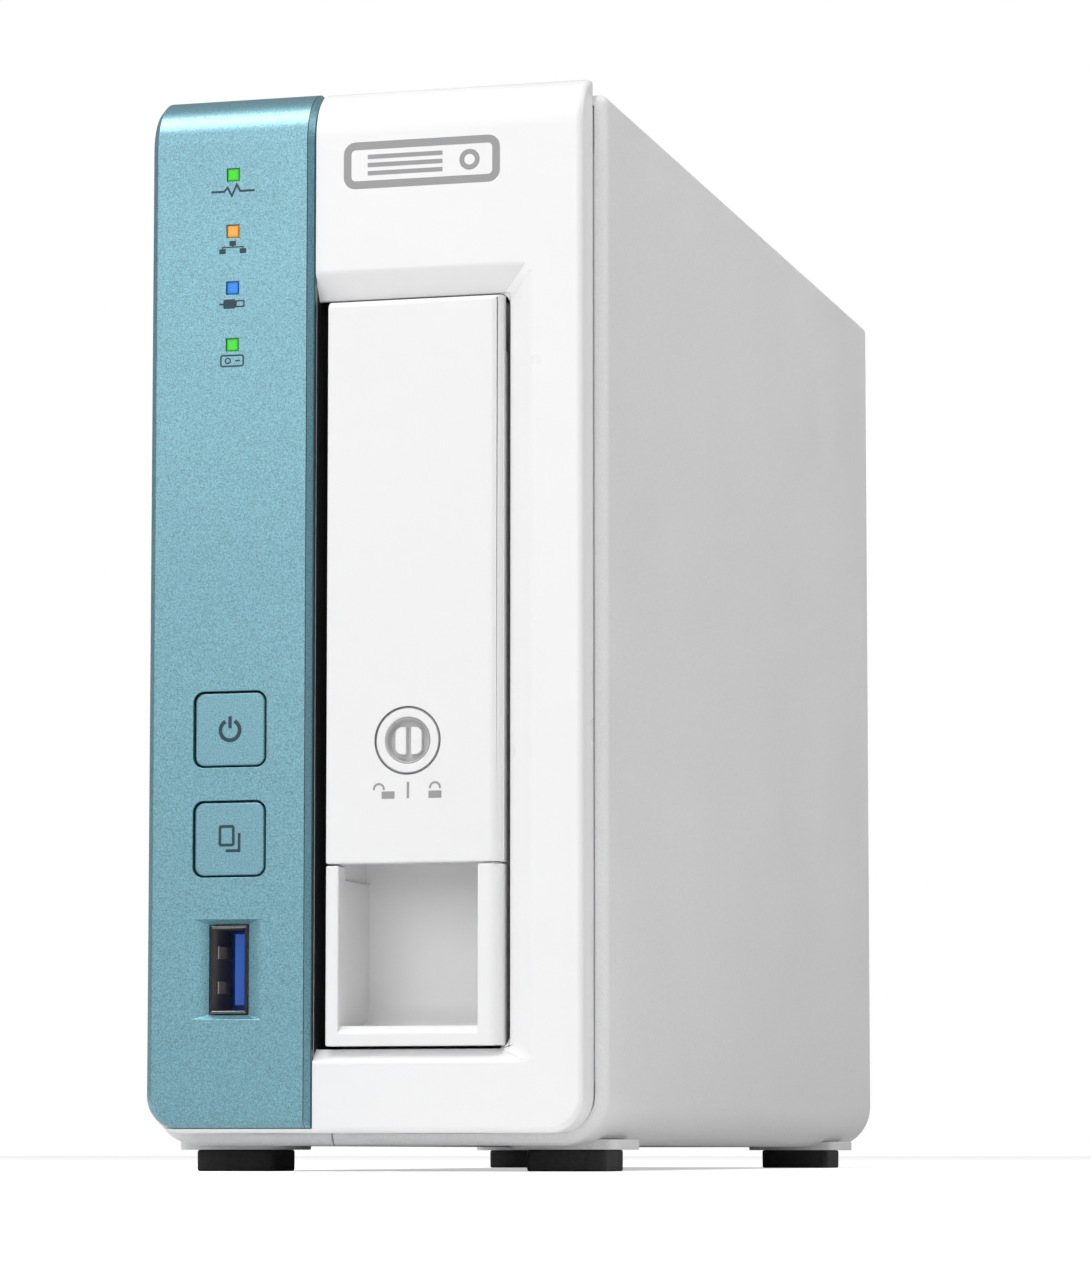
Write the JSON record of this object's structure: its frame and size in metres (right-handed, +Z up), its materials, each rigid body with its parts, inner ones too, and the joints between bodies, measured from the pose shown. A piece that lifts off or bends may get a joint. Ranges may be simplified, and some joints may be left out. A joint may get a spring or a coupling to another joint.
{
  "type": "one-bay network attached storage box",
  "caption": "Upright storage tower with a front plate of lamps, buttons and a port, a sliding drive tray with a hinged locking lever, and a fan behind.",
  "frame": {"origin": "on the ground under the middle of the casing, at the bottom centre of its bounding box", "axes": "+Z up, +Y from the front to the back, +X to the right of a person who looks at the front"},
  "size_m": [0.0746, 0.219, 0.1703],
  "materials": {
    "white_shell": "fine spark-eroded grain",
    "white_front": "smooth satin",
    "white_tray": "smooth satin",
    "teal_plate": "fine metallic paint",
    "teal_button": "fine metallic paint",
    "foot_rubber": "matt",
    "green_lens": "clear, lit",
    "orange_lens": "clear, lit",
    "blue_lens": "clear, lit",
    "black_plastic": "moulded",
    "fan_plastic": "moulded",
    "motor_core": "wound core",
    "white_plastic": "moulded",
    "circuit_board": "solder resist",
    "port_steel": "plated",
    "blue_insert": "moulded",
    "sheet_steel": "zinc plated",
    "cast_aluminium": "as cast",
    "screw_steel": "plated",
    "lock_plastic": "smooth satin",
    "lead_sleeve": "sleeved"
  },
  "bodies": {
    "case": {"backplane_board": "circuit_board", "backplane_connector": "black_plastic", "board_link_connector": "black_plastic", "board_screws": "screw_steel", "cage_screws": "screw_steel", "coin_cell": "screw_steel", "coin_cell_holder": "black_plastic", "copy_switch": "black_plastic", "cover_screws": "screw_steel", "drive_cage": "sheet_steel", "drive_light_pipe": "green_lens", "fan_cable": "lead_sleeve", "fan_frame": "fan_plastic", "fan_header": "white_plastic", "fan_motor": "motor_core", "fan_screws": "screw_steel", "front_bezel": "white_front", "front_board": "circuit_board", "front_board_screws": "screw_steel", "front_left_foot": "foot_rubber", "front_plate": "teal_plate", "front_right_foot": "foot_rubber", "front_usb_insert": "blue_insert", "front_usb_shell": "port_steel", "heat_sink": "cast_aluminium", "indicator_leds": "white_plastic", "left_cover": "white_shell", "lower_guide": "black_plastic", "main_board": "circuit_board", "memory_chips": "black_plastic", "network_jack": "black_plastic", "network_light_pipe": "orange_lens", "power_jack": "black_plastic", "power_switch": "black_plastic", "processor": "black_plastic", "rear_left_foot": "foot_rubber", "rear_panel": "white_shell", "rear_right_foot": "foot_rubber", "rear_usb_inserts": "blue_insert", "rear_usb_shells": "port_steel", "reset_switch": "black_plastic", "right_cover": "white_shell", "status_light_pipe": "green_lens", "upper_guide": "black_plastic", "usb_light_pipe": "blue_lens"},
    "tray": {"tray_body": "white_tray", "lever_pin": "screw_steel", "drive_case": "cast_aluminium", "drive_lid": "sheet_steel", "drive_screws": "screw_steel"},
    "lever": {"tray_lever": "white_tray"},
    "lock": {"lock_barrel": "lock_plastic", "lock_cam": "screw_steel"},
    "fan": {"fan_rotor": "fan_plastic", "fan_shaft": "screw_steel"},
    "power_button": {"power_button": "teal_button", "power_plunger": "white_plastic"},
    "copy_button": {"copy_button": "teal_button", "copy_plunger": "white_plastic"},
    "reset_button": {"reset_button": "white_plastic"}
  },
  "joints": [
    {"name": "tray_slide", "type": "slide", "parent": "case", "child": "tray", "axis": [0, -1, 0], "range_m": [0, 0.16]},
    {"name": "lever_swing", "type": "hinge", "parent": "tray", "child": "lever", "pos_m": [0.008, -0.1057, 0.13155], "axis": [-1, 0, 0], "range_deg": [0, 55]},
    {"name": "lock_turn", "type": "hinge", "parent": "lever", "child": "lock", "pos_m": [0.0071, -0.1034, 0.06645], "axis": [0, 1, 0], "range_deg": [0, 90]},
    {"name": "power_button_press", "type": "slide", "parent": "case", "child": "power_button", "axis": [0, 1, 0], "range_m": [0, 0.0008], "stiffness_N_per_m": 600},
    {"name": "copy_button_press", "type": "slide", "parent": "case", "child": "copy_button", "axis": [0, 1, 0], "range_m": [0, 0.0008], "stiffness_N_per_m": 600},
    {"name": "reset_button_press", "type": "slide", "parent": "case", "child": "reset_button", "axis": [0, -1, 0], "range_m": [0, 0.0004], "stiffness_N_per_m": 400},
    {"name": "fan_spin", "type": "hinge", "parent": "case", "child": "fan", "pos_m": [0.0045, 0.096, 0.122], "axis": [0, 1, 0], "continuous": true}
  ]
}
